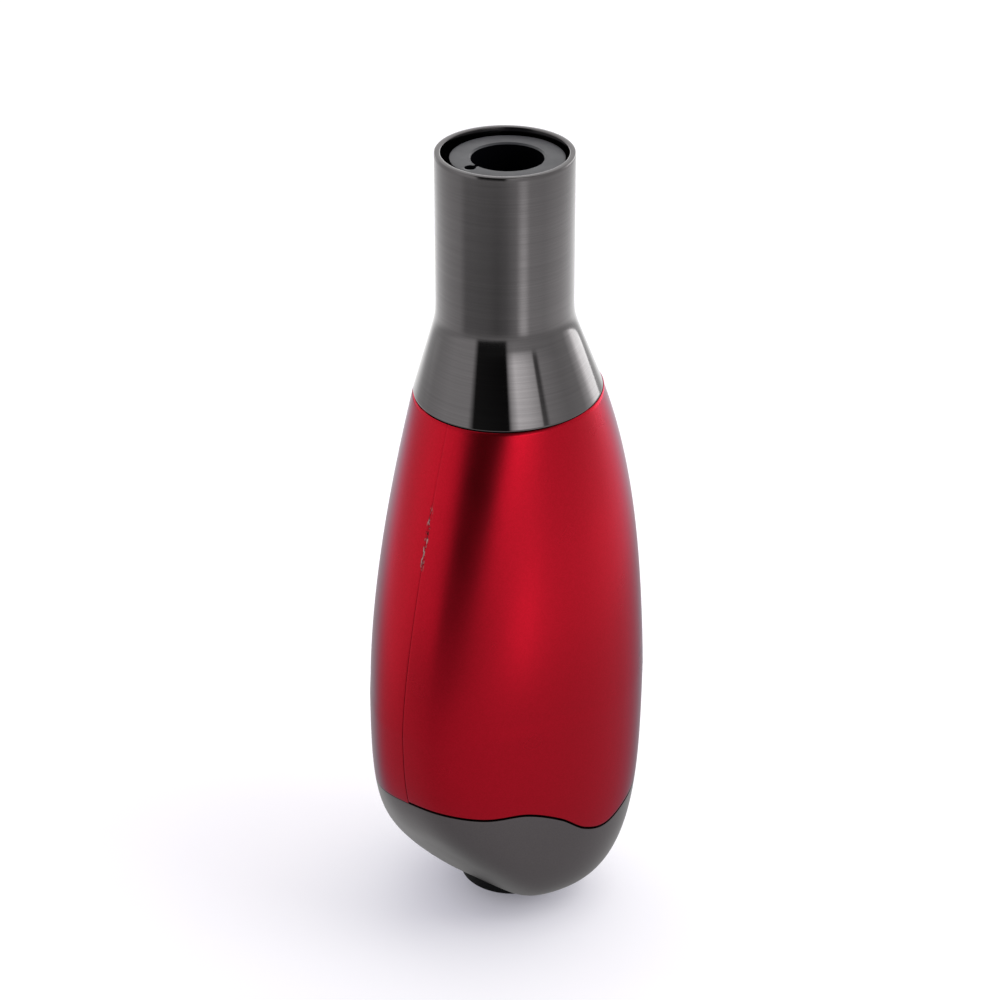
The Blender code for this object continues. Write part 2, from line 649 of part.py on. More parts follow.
# ---------------------------------------------------------------- release rod
def make_release_rod():
    groove = 0.6 * MM
    bevel = 0.5 * MM
    profile = [(0, ROD_TOP), (ROD_RADIUS - bevel, ROD_TOP), (ROD_RADIUS, ROD_TOP - bevel),
               (ROD_RADIUS, CLIP_HEIGHT + groove), (1.4 * MM, CLIP_HEIGHT + groove),
               (1.4 * MM, CLIP_HEIGHT - groove), (ROD_RADIUS, CLIP_HEIGHT - groove),
               (ROD_RADIUS, ROD_BOTTOM + bevel), (ROD_RADIUS - bevel, ROD_BOTTOM), (0, ROD_BOTTOM)]
    finish(turned(profile, steps=16, closed=False), "release_rod", "steel")

    clip_low, clip_high = CLIP_HEIGHT - 0.3 * MM, CLIP_HEIGHT + 0.3 * MM
    clip = turned([(3.6 * MM, clip_high), (3.6 * MM, clip_low), (1.7 * MM, clip_low),
                   (1.7 * MM, clip_high)], steps=20)
    cut(clip, box(-1.1 * MM, 1.1 * MM, -5 * MM, 0, clip_low - 1 * MM, clip_high + 1 * MM))
    finish(clip, "rod_e_clip", "spring_steel")

    washer_low = CLIP_HEIGHT + 0.9 * MM
    washer_high = washer_low + 0.8 * MM
    washer = turned([(5.0 * MM, washer_high), (5.0 * MM, washer_low), (2.3 * MM, washer_low),
                     (2.3 * MM, washer_high)], steps=20)
    finish(washer, "rod_washer", "steel")
    spring = coil("rod_spring", 3.9 * MM, 0.45 * MM, washer_high + CLEAR, WEB_LOW - CLEAR, 7, 0)
    finish(spring, "rod_spring", "spring_steel")

    guide_top = BUSH_BOTTOM - 2 * CLEAR
    flange = guide_top - 1.2 * MM
    guide = turned([(5.8 * MM, guide_top), (5.8 * MM, flange), (4.0 * MM, flange),
                    (4.0 * MM, WEB_LOW + 1 * MM), (2.3 * MM, WEB_LOW + 1 * MM), (2.3 * MM, guide_top)],
                   steps=24)
    finish(guide, "rod_guide", "brass")


make_collar()
make_shells()
make_end_cap()
make_seals()
make_lever_bush()
make_roll_pin()
make_core()
make_core_screws()
make_grub_screws()
make_button()
make_bezel()
make_release_rod()
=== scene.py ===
"""Looks for the automatic gear shift knob: fine outer pieces, materials, light and camera.

Everything is in metres in the CAD's frame: +Z up the lever bore, -Y towards the nose of the grip.
"""

import json
import math

import bmesh
import bpy
import numpy as np
from mathutils import Matrix, Vector


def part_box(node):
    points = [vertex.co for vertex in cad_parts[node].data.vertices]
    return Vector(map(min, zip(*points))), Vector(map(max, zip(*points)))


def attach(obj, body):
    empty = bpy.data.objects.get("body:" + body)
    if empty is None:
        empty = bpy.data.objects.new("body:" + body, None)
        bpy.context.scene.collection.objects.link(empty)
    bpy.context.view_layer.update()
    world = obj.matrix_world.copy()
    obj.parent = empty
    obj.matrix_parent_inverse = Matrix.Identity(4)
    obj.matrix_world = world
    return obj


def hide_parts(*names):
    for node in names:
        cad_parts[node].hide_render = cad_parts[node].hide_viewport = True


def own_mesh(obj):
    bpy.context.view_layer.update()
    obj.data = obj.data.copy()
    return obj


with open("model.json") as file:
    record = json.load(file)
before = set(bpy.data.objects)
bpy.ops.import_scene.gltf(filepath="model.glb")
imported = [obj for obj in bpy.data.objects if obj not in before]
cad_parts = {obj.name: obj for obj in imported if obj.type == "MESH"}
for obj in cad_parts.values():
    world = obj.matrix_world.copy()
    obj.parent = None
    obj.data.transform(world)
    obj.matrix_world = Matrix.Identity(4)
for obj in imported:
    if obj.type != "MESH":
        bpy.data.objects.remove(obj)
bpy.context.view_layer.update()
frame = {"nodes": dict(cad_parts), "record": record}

MM = 0.001

# The outer form, the same as the CAD's. The tube flares below FLARE_TOP to meet the grip at a
# tilted seam.
TUBE_RADIUS = 12.0 * MM
TUBE_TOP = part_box("collar_sleeve")[1].z
FLARE_TOP = 116.7 * MM
SEAM_HEIGHT = 102.2 * MM
SEAM_RADIUS = 16.75 * MM
SEAM_BACK_SHIFT = 1.2 * MM
SEAM_TILT = math.radians(3.0)
CAP_BOTTOM = 2.7 * MM
BORE_Y = 2.5 * MM
# Outline of the grip on each side: (widest height, reach there, roundness above, roundness below).
NOSE = (44.7 * MM, 29.2 * MM, 1.4, 2.7)
BACK = (59.7 * MM, 24.2 * MM, 2.8, 3.2)
SIDE = (44.7 * MM, 24.2 * MM, 1.8, 3.6)
FORM_POLE = CAP_BOTTOM - 2.0 * MM
# The fine grip has more facets than the CAD's, so it is drawn in by this much to stay inside it.
FIT = 0.9986
NOSE_SHARPNESS = 0.22
SHARPEST_HEIGHT = 47.7 * MM
# A soft ridge down each side of the nose, and a sloped facet under the nose.
RIDGE_FACING = math.radians(26.0)
RIDGE_SPREAD = math.radians(16.0)
RIDGE_HEIGHT = 0.56 * MM
RIDGE_DEPTH = 80 * MM
FACET_ANGLE = math.radians(48.0)
FACET_REACH = 34.13 * MM
FACET_HEIGHT = 44.7 * MM
FACET_CRISPNESS = 8.0
FLARE_ROUNDING = 0.9 * MM
# The wavy seam between grip and cap: (y, height) in millimetres.
WAVE = [(-34, 32.5), (-27, 29.6), (-22, 28.3), (-16, 28.3), (-10, 25.6), (-5, 21.8), (0, 20.4),
        (6, 22.2), (12, 24.2), (19, 26.0), (32, 28.0)]

# The button and its ring at the foot, the bush in the mouth of the tube, and the springs.
BUTTON_Y = BORE_Y + 2.4 * MM
BEZEL_RADIUS = 9.7 * MM
BUTTON_RADIUS = 7.6 * MM
BUSH_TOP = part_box("lever_bush")[1].z
BUSH_RADIUS = 9.9 * MM
BORE_RADIUS = 6.25 * MM
BUSH_LOW = 84.3 * MM
BUSH_LEAN = (0.34 * MM, 0.27 * MM)
SLOT_TURN = math.radians(-14)
RELIEF_PLACE = 7.9 * MM
RELIEF_RADIUS = 1.0 * MM
SPRING_TURN_STEPS, SPRING_WIRE_STEPS = 36, 12
SPRING_END_PITCH = 2.3

# Walls and rounded edges of the fine pieces.
SHELL_WALL, SHELL_ROUNDING = 1.5 * MM, 0.09 * MM
COLLAR_WALL, COLLAR_ROUNDING = 1.05 * MM, 0.16 * MM
CAP_WALL, CAP_ROUNDING, CAP_FOOT_ROUNDING = 1.4 * MM, 0.2 * MM, 1.0 * MM
CAP_HOLE_RADIUS = 9.2 * MM

# Gaps between them: the cap's edge sits below the wave, the left shell's on it, and the right
# shell's above it.
COLLAR_GAP = 0.2 * MM
CAP_EDGE = -0.2 * MM
SHELL_EDGE = {"left_shell": -0.08 * MM, "right_shell": 0.34 * MM}
# Half the parting line between the shells, at its foot and its top.
SPLIT_LOW, SPLIT_HIGH = 0.07 * MM, 0.005 * MM
# The shells' top edge is drawn in to this share of its size, for a small chamfer from LIP_START up.
LIP, LIP_START = 0.991, 0.998

CAMERA_AZIMUTH = math.radians(38.32)
CAMERA_ELEVATION = math.radians(28.24)
CAMERA_DISTANCE = 570.37 * MM
CAMERA_TARGET_Z = 80.0 * MM
CAMERA_SIDE_STEP = -0.826 * MM
CAMERA_LENS = 115.2
CAMERA_SENSOR = 36.0

scene = bpy.context.scene


# ---------------------------------------------------------------- the outer form
def reach(z, side, top_reach):
    """How far the grip's outline stands from the axis on one side, at height z."""
    full_height, full, above, below = side
    rise = np.clip((z - full_height) / (SEAM_HEIGHT - full_height), 0, 1)
    upper = full - (full - top_reach) * rise**above
    drop = np.clip((full_height - z) / (full_height - FORM_POLE), 0, 1)
    lower = full * (1 - drop**below) ** (1 / below)
    return np.where(z >= full_height, upper, lower)


def grip_points(t, z):
    """x and y of the egg-shaped grip at angle t from the nose and height z, both arrays."""
    front = reach(z, NOSE, SEAM_RADIUS - SEAM_BACK_SHIFT)
    back = reach(z, BACK, SEAM_RADIUS + SEAM_BACK_SHIFT)
    half = reach(z, SIDE, SEAM_RADIUS)
    fade = np.clip((SEAM_HEIGHT - z) / (SEAM_HEIGHT - SHARPEST_HEIGHT), 0, 1)
    k = np.maximum(NOSE_SHARPNESS * fade, 1e-5)
    cosine = (1 - np.sqrt(1 + 8 * k**2)) / (4 * k)
    width = half / (np.sqrt(1 - cosine**2) * (1 - k * cosine))
    middle = (back - front) / 2
    x = width * np.sin(t) * (1 - k * np.cos(t))
    y = -(front + back) / 2 * np.cos(t)
    turn = np.cos(t) * (1 - k * np.cos(t)) + k * np.sin(t) ** 2
    facing = np.arctan2((front + back) / 2 * np.sin(t), width * turn)
    growth = np.sqrt(np.maximum(0, SEAM_HEIGHT - z) / RIDGE_DEPTH)
    rise = RIDGE_HEIGHT * growth * (np.exp(-(((facing - RIDGE_FACING) / RIDGE_SPREAD) ** 2))
                                    + np.exp(-(((facing + RIDGE_FACING) / RIDGE_SPREAD) ** 2)))
    x = x + rise * np.sin(facing)
    y = y - rise * np.cos(facing)
    ny, nz = -math.sin(FACET_ANGLE), -math.cos(FACET_ANGLE)
    outward = y * ny
    room = FACET_REACH - middle * ny - (z - FACET_HEIGHT) * nz
    share = np.maximum(room / np.maximum(outward, 1e-9), 0.05)
    pull = np.where(outward > 0, (1 + share**-FACET_CRISPNESS) ** (-1 / FACET_CRISPNESS), 1.0)
    return x * pull, middle + y * pull


def collar_points(t, z):
    """x and y of the tube and its flare at angle t and height z."""
    depth = (FLARE_TOP - z) / FLARE_ROUNDING
    depth = np.where(depth > 30, depth, np.log1p(np.exp(np.minimum(depth, 30)))) * FLARE_ROUNDING
    spread = depth / (FLARE_TOP - SEAM_HEIGHT)
    radius = TUBE_RADIUS + (SEAM_RADIUS - TUBE_RADIUS) * spread
    return radius * np.sin(t), SEAM_BACK_SHIFT * spread - radius * np.cos(t)


def wave(y):
    """Height of the wavy seam, the same smooth curve through WAVE as the CAD's."""
    knots = np.array(WAVE) * MM
    slopes = np.empty(len(knots))
    for i in range(len(knots)):
        a, b = max(i - 1, 0), min(i + 1, len(knots) - 1)
        slopes[i] = (knots[b, 1] - knots[a, 1]) / (knots[b, 0] - knots[a, 0])
    y = np.clip(y, knots[0, 0], knots[-1, 0])
    i = np.clip(np.searchsorted(knots[:, 0], y, side="right") - 1, 0, len(knots) - 2)
    y0, z0, y1, z1 = knots[i, 0], knots[i, 1], knots[i + 1, 0], knots[i + 1, 1]
    span = y1 - y0
    s = (y - y0) / span
    lead = (2 * s**3 - 3 * s**2 + 1) * z0 + (s**3 - 2 * s**2 + s) * span * slopes[i]
    return lead + (3 * s**2 - 2 * s**3) * z1 + (s**3 - s**2) * span * slopes[i + 1]


def crossing(points, t, seam, low, high):
    """For each angle, the highest place between low and high where the form meets z = seam(y)."""
    z = np.linspace(low, high, 500)
    tt, zz = np.meshgrid(t, z)
    gap = zz - seam(points(tt, zz)[1])
    found = np.empty(len(t))
    for i in range(len(t)):
        j = np.nonzero(gap[:, i] < 0)[0]
        j = min(j[-1], len(z) - 2) if len(j) else 0
        g0, g1 = gap[j, i], gap[j + 1, i]
        found[i] = z[j] + (z[j + 1] - z[j]) * np.clip(-g0 / (g1 - g0), 0, 1)
    return found


def grid_mesh(name, grid, closed):
    """A mesh of quads over grid[row, column] points, its columns running round the bore."""
    rows, columns = grid.shape[:2]
    index = np.arange(rows * columns).reshape(rows, columns)
    faces = []
    for r in range(rows - 1):
        for c in range(columns if closed else columns - 1):
            d = (c + 1) % columns
            faces.append((index[r, c], index[r, d], index[r + 1, d], index[r + 1, c]))
    mesh = bpy.data.meshes.new(name)
    mesh.from_pydata([tuple(p) for p in grid.reshape(-1, 3)], [],
                     [tuple(map(int, f)) for f in faces])
    return mesh


def new_piece(name, mesh, body, material, replaces):
    """A visible piece in its body, standing for the CAD nodes that it replaces."""
    obj = bpy.data.objects.new(name, mesh)
    scene.collection.objects.link(obj)
    mesh.materials.clear()
    mesh.materials.append(material)
    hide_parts(*replaces)
    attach(obj, body)
    return obj


def thicken(obj, thickness, rounding):
    """Gives a sheet a wall inwards, and rounds its edges."""
    solidify = obj.modifiers.new("wall", "SOLIDIFY")
    solidify.thickness = thickness
    solidify.offset = -1
    solidify.use_even_offset = True
    round_edges(obj, rounding, 3)
    apply_modifiers(obj)
    smooth(obj, 40)


def round_edges(obj, rounding, segments):
    bevel = obj.modifiers.new("edges", "BEVEL")
    bevel.width = rounding
    bevel.segments = segments
    bevel.limit_method = "ANGLE"
    bevel.angle_limit = math.radians(50)


def smooth(obj, sharp_angle):
    obj.data.shade_smooth()
    obj.data.set_sharp_from_angle(angle=math.radians(sharp_angle))


def apply_modifiers(obj):
    """Leaves the object with its evaluated mesh and no modifiers."""
    bpy.context.view_layer.update()
    graph = bpy.context.evaluated_depsgraph_get()
    mesh = bpy.data.meshes.new_from_object(obj.evaluated_get(graph))
    obj.modifiers.clear()
    obj.data = mesh


# ---------------------------------------------------------------- materials
def node(tree, kind, **settings):
    made = tree.nodes.new(kind)
    for key, value in settings.items():
        setattr(made, key, value)
    return made


def surface(name, colour, roughness, metallic, **sockets):
    """A Principled material and its tree, with plain values set on the shader's own sockets."""
    material = bpy.data.materials.new(name)
    material.use_nodes = True
    tree = material.node_tree
    shader = tree.nodes["Principled BSDF"]
    shader.inputs["Base Color"].default_value = (*colour, 1)
    shader.inputs["Roughness"].default_value = roughness
    shader.inputs["Metallic"].default_value = metallic
    for key, value in sockets.items():
        shader.inputs[key.replace("_", " ")].default_value = value
    return material, tree, shader


def noise(tree, scale, detail=2.0, stretch=(1, 1, 1), rough=0.5):
    """A noise texture on object coordinates in metres, stretched along an axis if asked."""
    place = node(tree, "ShaderNodeTexCoord")
    mapping = node(tree, "ShaderNodeMapping")
    mapping.inputs["Scale"].default_value = stretch
    tree.links.new(place.outputs["Object"], mapping.inputs["Vector"])
    texture = node(tree, "ShaderNodeTexNoise")
    texture.inputs["Scale"].default_value = scale
    texture.inputs["Detail"].default_value = detail
    texture.inputs["Roughness"].default_value = rough
    tree.links.new(mapping.outputs["Vector"], texture.inputs["Vector"])
    return texture.outputs["Fac"]


def spread(tree, value, low, high, from_low=0.3, from_high=0.7):
    """Maps a value from one range to another. The default range is about what a noise covers."""
    made = node(tree, "ShaderNodeMapRange")
    made.inputs["From Min"].default_value = from_low
    made.inputs["From Max"].default_value = from_high
    made.inputs["To Min"].default_value = low
    made.inputs["To Max"].default_value = high
    tree.links.new(value, made.inputs["Value"])
    return made.outputs["Result"]


def tint(tree, value, dark, light):
    """A colour between two, by a value from 0 to 1."""
    mix = node(tree, "ShaderNodeMix", data_type="RGBA")
    mix.inputs[6].default_value = (*dark, 1)
    mix.inputs[7].default_value = (*light, 1)
    tree.links.new(value, mix.inputs[0])
    return mix.outputs[2]


def bump(tree, shader, value, strength, distance, normal=None):
    made = node(tree, "ShaderNodeBump")
    made.inputs["Strength"].default_value = strength
    made.inputs["Distance"].default_value = distance
    tree.links.new(value, made.inputs["Height"])
    if normal is not None:
        tree.links.new(normal, made.inputs["Normal"])
    tree.links.new(made.outputs["Normal"], shader.inputs["Normal"])
    return made.outputs["Normal"]


def times(tree, *values):
    """The product of all the values."""
    total = values[0]
    for value in values[1:]:
        product = node(tree, "ShaderNodeMath", operation="MULTIPLY")
        tree.links.new(total, product.inputs[0])
        tree.links.new(value, product.inputs[1])
        total = product.outputs[0]
    return total


def worn_edge(tree, colour):
    """Pale and dark chips in the lacquer along the nose's parting line, from a thumb's rubbing."""
    parts = node(tree, "ShaderNodeSeparateXYZ")
    tree.links.new(node(tree, "ShaderNodeTexCoord").outputs["Object"], parts.inputs["Vector"])
    off = node(tree, "ShaderNodeMath", operation="ABSOLUTE")
    tree.links.new(parts.outputs["X"], off.inputs[0])
    along = times(tree, spread(tree, parts.outputs["Z"], 0, 1, 75 * MM, 78 * MM),
                  spread(tree, parts.outputs["Z"], 1, 0, 84 * MM, 88 * MM),
                  spread(tree, parts.outputs["Y"], 1, 0, -1 * MM, 0),
                  spread(tree, off.outputs[0], 1, 0, 0.2 * MM, 0.5 * MM))
    chips = noise(tree, 1, 1, (3200, 3200, 120), 0.5)
    for low, high, shade in ((0.48, 0.53, (0.03, 0.0006, 0.003)), (0.57, 0.61, (0.42, 0.22, 0.22))):
        mix = node(tree, "ShaderNodeMix", data_type="RGBA")
        tree.links.new(times(tree, along, spread(tree, chips, 0, 1, low, high)), mix.inputs[0])
        tree.links.new(colour, mix.inputs[6])
        mix.inputs[7].default_value = (*shade, 1)
        colour = mix.outputs[2]
    return colour


def red_lacquer():
    """Deep red metallic lacquer with a satin top coat, fine flake and a trace of orange peel."""
    material, tree, shader = surface("red_lacquer", (0.43, 0.001, 0.0125), 0.3, 0.985,
                                     Coat_Weight=1.0, Coat_Roughness=0.38, Coat_IOR=1.17,
                                     Specular_Tint=(0.35, 0.5, 0.6, 1))
    flake = node(tree, "ShaderNodeTexVoronoi")
    flake.inputs["Scale"].default_value = 5200
    place = node(tree, "ShaderNodeTexCoord")
    tree.links.new(place.outputs["Object"], flake.inputs["Vector"])
    grains = node(tree, "ShaderNodeSeparateColor")
    tree.links.new(flake.outputs["Color"], grains.inputs["Color"])
    colour = tint(tree, spread(tree, grains.outputs["Red"], 0, 1, 0, 1),
                  (0.4, 0.0008, 0.0105), (0.46, 0.0013, 0.0145))
    tree.links.new(worn_edge(tree, colour), shader.inputs["Base Color"])
    rough = spread(tree, noise(tree, 90, 3), 0.27, 0.32)
    tree.links.new(rough, shader.inputs["Roughness"])
    peel = bump(tree, shader, noise(tree, 420, 1), 0.1, 0.00005)
    bump(tree, shader, grains.outputs["Green"], 0.04, 0.00002, peel)
    return material


def brushed_gunmetal():
    """Dark steel with fine brush lines that run round the tube; the flare is polished smoother."""
    material, tree, shader = surface("brushed_gunmetal", (0.118, 0.111, 0.113), 0.14, 1.0,
                                     Anisotropic=0.5, Anisotropic_Rotation=0.25)
    lines = noise(tree, 1.0, 4, (50, 50, 5200), 0.65)
    coarse = noise(tree, 1.0, 2, (25, 25, 1100), 0.5)
    colour = tint(tree, spread(tree, lines, 0, 1), (0.106, 0.1, 0.102), (0.13, 0.123, 0.125))
    tree.links.new(colour, shader.inputs["Base Color"])
    place = node(tree, "ShaderNodeTexCoord")
    parts = node(tree, "ShaderNodeSeparateXYZ")
    tree.links.new(place.outputs["Object"], parts.inputs["Vector"])
    height = spread(tree, parts.outputs["Z"], 0.07, 0.16, FLARE_TOP - 4 * MM, FLARE_TOP + 5 * MM)
    rough = times(tree, height, spread(tree, coarse, 0.85, 1.15))
    tree.links.new(rough, shader.inputs["Roughness"])
    tangent = node(tree, "ShaderNodeTangent", direction_type="RADIAL", axis="Z")
    tree.links.new(tangent.outputs["Tangent"], shader.inputs["Tangent"])
    bump(tree, shader, lines, 0.12, 0.00001)
    return material


def satin_gunmetal():
    """Dark satin metal with a faint grain."""
    material, tree, shader = surface("satin_gunmetal", (0.136, 0.122, 0.127), 0.3, 1.0)
    grain = noise(tree, 3500, 2)
    cloud = noise(tree, 120, 3)
    colour = tint(tree, spread(tree, grain, 0, 1), (0.128, 0.115, 0.12), (0.144, 0.129, 0.134))
    tree.links.new(colour, shader.inputs["Base Color"])
    tree.links.new(spread(tree, cloud, 0.28, 0.33), shader.inputs["Roughness"])
    bump(tree, shader, grain, 0.12, 0.00003)
    return material


def bush_plastic():
    """Black plastic with painted light and shade: grey on faces that turn up, near-black in the
    bore and slot.
    """
    material, tree, shader = surface("bush_plastic", (0.028, 0.028, 0.032), 0.42, 0.0)
    facing = node(tree, "ShaderNodeSeparateXYZ")
    tree.links.new(node(tree, "ShaderNodeNewGeometry").outputs["Normal"], facing.inputs["Vector"])
    # Painted light and shade by facing: up-turned faces lighter and glossier, upright walls
    # near-black and less glossy.
    top = spread(tree, facing.outputs["Z"], 0, 1, 0.2, 0.5)
    colour = tint(tree, top, (0.002, 0.002, 0.003), (0.028, 0.028, 0.033))
    tree.links.new(colour, shader.inputs["Base Color"])
    tree.links.new(spread(tree, top, 0.02, 0.5, 0, 1), shader.inputs["Specular IOR Level"])
    tree.links.new(spread(tree, noise(tree, 220, 2), 0.38, 0.5), shader.inputs["Roughness"])
    bump(tree, shader, noise(tree, 2600, 3), 0.2, 0.00004)
    return material


def plain(name, dark, light, low, high, metallic, scale, depth, stretch=(1, 1, 1), **sockets):
    """A fine-grained material of two close colours, a roughness range and a grain of this scale."""
    material, tree, shader = surface(name, light, high, metallic, **sockets)
    grain = noise(tree, scale, 3, stretch)
    tree.links.new(tint(tree, spread(tree, grain, 0, 1), dark, light), shader.inputs["Base Color"])
    cloud = noise(tree, scale / 12, 2, stretch)
    tree.links.new(spread(tree, cloud, low, high), shader.inputs["Roughness"])
    bump(tree, shader, grain, 0.2, depth)
    return material


MATERIALS = {
    "red_lacquer": red_lacquer(),
    "brushed_gunmetal": brushed_gunmetal(),
    "satin_gunmetal": satin_gunmetal(),
    # black_plastic is very dark and of low specular level: partly the plastic's own black, partly
    # painted shade for the ring and button in the knob's shadow at its foot.
    "black_plastic": plain("black_plastic", (0.003, 0.003, 0.004), (0.006, 0.006, 0.007),
                           0.45, 0.55, 0.0, 2600, 0.00004, Specular_IOR_Level=0.1),
    "black_rubber": plain("black_rubber", (0.006, 0.006, 0.006), (0.014, 0.014, 0.014),
                          0.7, 0.85, 0.0, 1800, 0.00005),
    "core_nylon": plain("core_nylon", (0.55, 0.53, 0.47), (0.64, 0.62, 0.56), 0.45, 0.6, 0.0,
                        1400, 0.00004),
    "steel": plain("steel", (0.45, 0.45, 0.46), (0.6, 0.6, 0.61), 0.22, 0.34, 1.0, 40, 0.00001,
                   (1, 1, 90)),
    "spring_steel": plain("spring_steel", (0.32, 0.32, 0.33), (0.45, 0.45, 0.46), 0.26, 0.38, 1.0,
                          2000, 0.00001),
    "brass": plain("brass", (0.62, 0.43, 0.17), (0.76, 0.56, 0.26), 0.24, 0.36, 1.0, 40, 0.00001,
                   (1, 1, 90)),
}

for part in frame["record"]["subparts"]:
    shown = frame["nodes"][part["node"]]
    shown.data.materials.clear()
    shown.data.materials.append(MATERIALS[part["material_slot"]])
    smooth(shown, 35)


# ---------------------------------------------------------------- outer pieces
def stacked(points, t, low, high, shares):
    """grid[row, column] of the form between two heights that differ from column to column."""
    z = low[None, :] + (high - low)[None, :] * shares[:, None]
    x, y = points(np.broadcast_to(t, z.shape), z)
    return np.stack([x, y + BORE_Y, z], axis=2)


def tilted_seam(offset):
    return lambda y: SEAM_HEIGHT + offset + math.tan(SEAM_TILT) * y


def make_shells():
    for name, direction in (("left_shell", -1), ("right_shell", 1)):
        t = np.linspace(0, math.pi, 131)
        low = crossing(grip_points, t, lambda y: wave(y) + SHELL_EDGE[name], 12 * MM, 40 * MM)
        high = crossing(grip_points, t, tilted_seam(-COLLAR_GAP / 2), 95 * MM,
                        SEAM_HEIGHT + 3 * MM)
        shares = np.append(np.linspace(0, LIP_START, 150), 1)
        grid = stacked(grip_points, t, low, high, shares)
        grid[:, :, :2] *= FIT
        grid[-1, :, 0] *= LIP
        grid[-1, :, 1] = BORE_Y + LIP * (grid[-1, :, 1] - BORE_Y)
        grid[:, [0, -1], 0] = (SPLIT_LOW + (SPLIT_HIGH - SPLIT_LOW) * shares)[:, None]
        grid[:, :, 0] *= direction
        if direction < 0:
            grid = grid[:, ::-1]
        mesh = grid_mesh(name, grid, closed=False)
        shell = new_piece("fine_" + name, mesh, "knob", MATERIALS["red_lacquer"],
                          [name])
        thicken(shell, SHELL_WALL, SHELL_ROUNDING)


def make_collar():
    t = np.linspace(0, 2 * math.pi, 193)[:-1]
    low = crossing(collar_points, t, tilted_seam(COLLAR_GAP / 2), 95 * MM, 110 * MM)
    high = np.full(len(t), TUBE_TOP)
    shares = np.concatenate([np.linspace(0, 0.5, 70), np.linspace(0.5, 1, 30)[1:]])
    grid = stacked(collar_points, t, low, high, shares)
    mesh = grid_mesh("collar", grid, closed=True)
    collar = new_piece("fine_collar_sleeve", mesh, "knob",
                       MATERIALS["brushed_gunmetal"], ["collar_sleeve"])
    thicken(collar, COLLAR_WALL, COLLAR_ROUNDING)


def make_cap():
    t = np.linspace(0, 2 * math.pi, 257)[:-1]
    high = crossing(grip_points, t, lambda y: wave(y) + CAP_EDGE, 12 * MM, 40 * MM)
    low = np.full(len(t), CAP_BOTTOM)
    side = stacked(grip_points, t, low, high, np.linspace(0, 1, 90) ** 1.8)
    hole = np.stack([CAP_HOLE_RADIUS * np.sin(t), BUTTON_Y - CAP_HOLE_RADIUS * np.cos(t), low],
                    axis=1)
    land = [hole + (side[0] - hole) * s for s in np.linspace(0, 1, 14)[:-1]]
    grid = np.concatenate([np.array(land), side])
    grid = round_corner(grid, len(land), CAP_FOOT_ROUNDING, 24)
    grid[:, :, :2] *= FIT
    mesh = grid_mesh("cap", grid, closed=True)
    cap = new_piece("fine_end_cap", mesh, "knob", MATERIALS["satin_gunmetal"],
                    ["end_cap"])
    thicken(cap, CAP_WALL, CAP_ROUNDING)


def round_corner(grid, row, radius, passes):
    """Softens the edge at one row of a grid by averaging along its columns, only near that row."""
    distance = np.linalg.norm(grid - grid[row][None], axis=2)
    weight = np.clip(1.5 - distance / radius, 0, 1)[1:-1, :, None]
    for _ in range(passes):
        mean = (grid[:-2] + grid[2:]) / 2
        grid[1:-1] += 0.6 * weight * (mean - grid[1:-1])
    return grid


def turned(name, profile, y, steps):
    """A turned mesh from a closed (radius, height) profile that runs down its outer side."""
    t = np.linspace(0, 2 * math.pi, steps, endpoint=False)
    profile = np.array(profile[::-1] + profile[-1:])
    r, z = profile[:, 0][:, None], profile[:, 1][:, None] + 0 * t[None, :]
    grid = np.stack([r * np.sin(t), y - r * np.cos(t), z], axis=2)
    mesh = grid_mesh(name, grid, closed=True)
    weld(mesh)
    return mesh


def weld(mesh):
    """Joins points that meet, and turns every face outwards."""
    shape = bmesh.new()
    shape.from_mesh(mesh)
    bmesh.ops.remove_doubles(shape, verts=shape.verts, dist=1e-6)
    bmesh.ops.recalc_face_normals(shape, faces=shape.faces)
    shape.to_mesh(mesh)
    shape.free()


def cutter(size, place, turn, round_steps=0):
    """A box, or an upright cylinder when round_steps is given, that is only used to cut."""
    shape = bmesh.new()
    if round_steps:
        bmesh.ops.create_cone(shape, cap_ends=True, segments=round_steps, radius1=size[0],
                              radius2=size[0], depth=size[2])
    else:
        bmesh.ops.create_cube(shape, size=1)
        bmesh.ops.scale(shape, vec=size, verts=shape.verts)
    mesh = bpy.data.meshes.new("cutter")
    shape.to_mesh(mesh)
    shape.free()
    middle = Matrix.Translation((0, BORE_Y, 0))
    mesh.transform(middle @ Matrix.Rotation(turn, 4, "Z") @ Matrix.Translation(place))
    obj = bpy.data.objects.new("cutter", mesh)
    scene.collection.objects.link(obj)
    return obj


def carve(obj, cutters, rounding=0):
    """Cuts the tools out of a piece, then rounds its edges if asked."""
    for tool in cutters:
        modifier = obj.modifiers.new("cut", "BOOLEAN")
        modifier.operation = "DIFFERENCE"
        modifier.solver = "EXACT"
        modifier.object = tool
    if rounding:
        round_edges(obj, rounding, 2)
    apply_modifiers(obj)
    for tool in cutters:
        bpy.data.objects.remove(tool)
    smooth(obj, 35)


